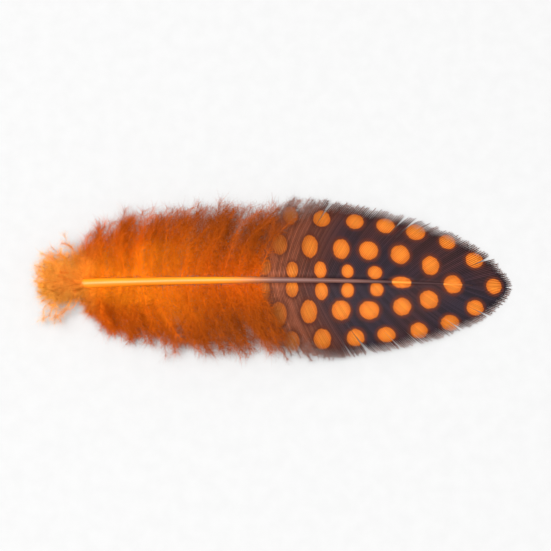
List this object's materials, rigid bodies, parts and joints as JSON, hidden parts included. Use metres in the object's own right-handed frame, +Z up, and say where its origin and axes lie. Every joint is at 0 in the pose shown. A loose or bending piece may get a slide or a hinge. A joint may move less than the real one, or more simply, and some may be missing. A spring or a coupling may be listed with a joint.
{
  "type": "guinea fowl feather",
  "caption": "Dyed guinea fowl body feather lying flat: tapering shaft, fluffy orange down along its lower half and a dark, cupped vane with rows of round orange spots.",
  "frame": {"origin": "middle of the feather's footprint, on the surface that it lies on", "axes": "+X along the shaft from the quill to the vane's tip, +Y to the feather's left, +Z up through its spotted face"},
  "size_m": [0.0812, 0.0294, 0.0086],
  "materials": {
    "keratin": "smooth dyed keratin",
    "vane": "dark zipped barbs with orange spots",
    "down": "soft dyed down"
  },
  "bodies": {
    "root": {"shaft": "keratin", "left_vane": "vane", "right_vane": "vane", "left_down": "down", "right_down": "down", "base_tuft": "down"}
  },
  "joints": []
}
